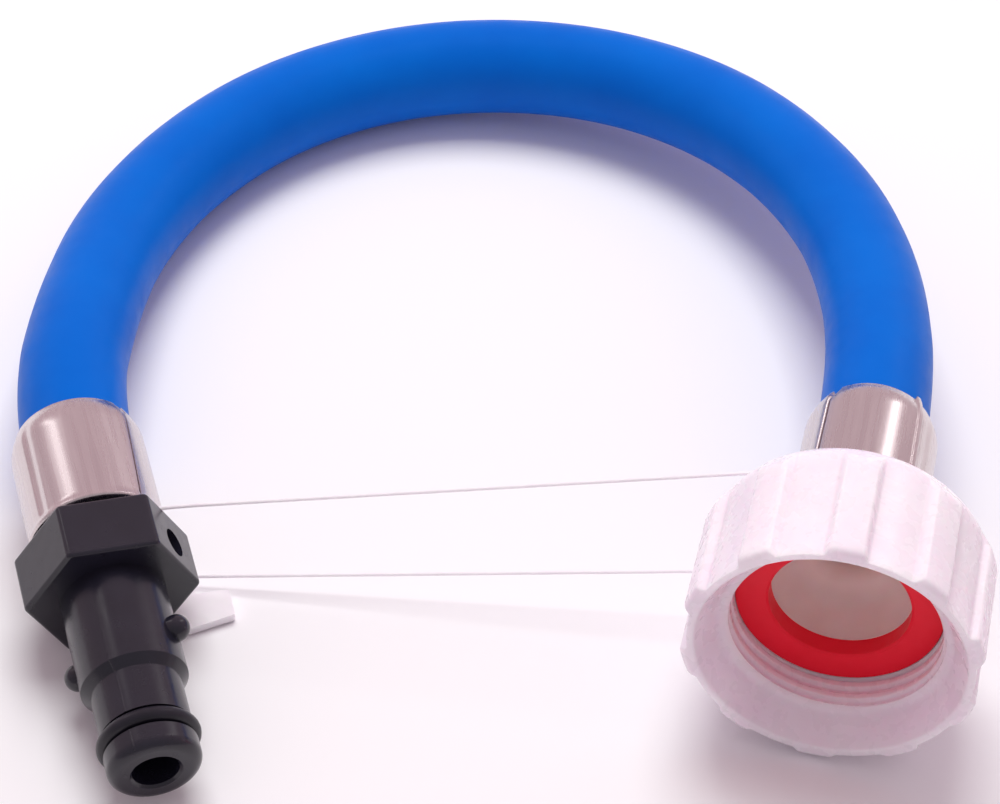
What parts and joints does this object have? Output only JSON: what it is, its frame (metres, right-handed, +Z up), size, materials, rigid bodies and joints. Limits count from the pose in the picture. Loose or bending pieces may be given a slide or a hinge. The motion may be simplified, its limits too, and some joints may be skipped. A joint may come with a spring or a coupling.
{
  "type": "inlet hose with bayonet plug and coupling nut",
  "caption": "Short reinforced hose bent into a C, with a barbed bayonet plug crimped on one end and a swivelling coupling nut with a flat washer on the other.",
  "frame": {"origin": "on the surface it lies on, under the middle of the fittings' overall box", "axes": "+X from the plug's end towards the nut's end, +Y from the fittings towards the bend of the hose, +Z up"},
  "size_m": [0.1181, 0.1388, 0.0349],
  "materials": {
    "hose_cover": "satin",
    "hose_braid": "woven",
    "hose_liner": "smooth",
    "plug_ferrule": "satin",
    "nut_ferrule": "satin",
    "bayonet_plug": "satin",
    "plug_o_ring": "smooth",
    "coupling_nut": "translucent",
    "tailpiece": "smooth",
    "sealing_washer": "smooth",
    "tie_loop": "clear",
    "tie_lock": "clear"
  },
  "bodies": {
    "hose": {"hose_cover": "hose_cover", "hose_braid": "hose_braid", "hose_liner": "hose_liner", "plug_ferrule": "plug_ferrule", "nut_ferrule": "nut_ferrule", "bayonet_plug": "bayonet_plug", "plug_o_ring": "plug_o_ring", "tailpiece": "tailpiece", "sealing_washer": "sealing_washer", "tie_loop": "tie_loop", "tie_lock": "tie_lock"},
    "nut": {"coupling_nut": "coupling_nut"}
  },
  "joints": [
    {"name": "nut_spin", "type": "hinge", "parent": "hose", "child": "nut", "pos_m": [0.04068, -0.00149, 0.01741], "axis": [-0.1799, -0.9835, 0.018], "continuous": true}
  ]
}
